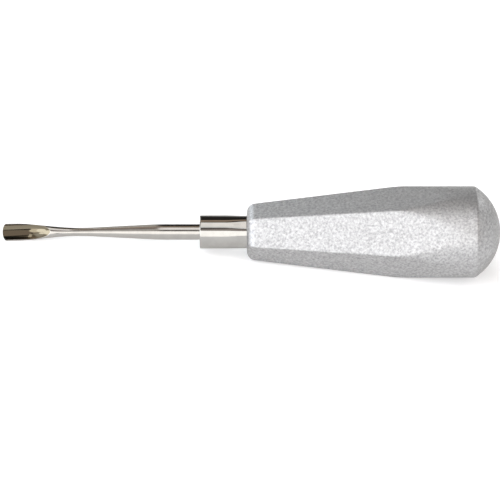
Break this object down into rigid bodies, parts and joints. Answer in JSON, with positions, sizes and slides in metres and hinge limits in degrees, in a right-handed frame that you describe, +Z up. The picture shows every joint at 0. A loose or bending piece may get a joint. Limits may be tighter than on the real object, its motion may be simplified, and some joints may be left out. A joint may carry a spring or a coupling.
{
  "type": "luxating elevator",
  "caption": "Hand instrument with a thin curved gouge blade, a tapering shank, a plain ferrule and a six-sided tapering handle with a domed end.",
  "frame": {"origin": "middle of the tool's outline seen from above, on the surface that it lies on", "axes": "+X from the cutting edge towards the domed end of the handle, +Z up, and -Y on the side that the blade's hollow faces"},
  "size_m": [0.1456, 0.027, 0.0273],
  "materials": {
    "blade_steel": "ground and polished stainless steel",
    "ferrule_steel": "mirror polished stainless steel",
    "handle_metal": "bead blasted, matt and finely sparkling"
  },
  "bodies": {
    "root": {"blade": "blade_steel", "ferrule": "ferrule_steel", "handle": "handle_metal"}
  },
  "joints": []
}
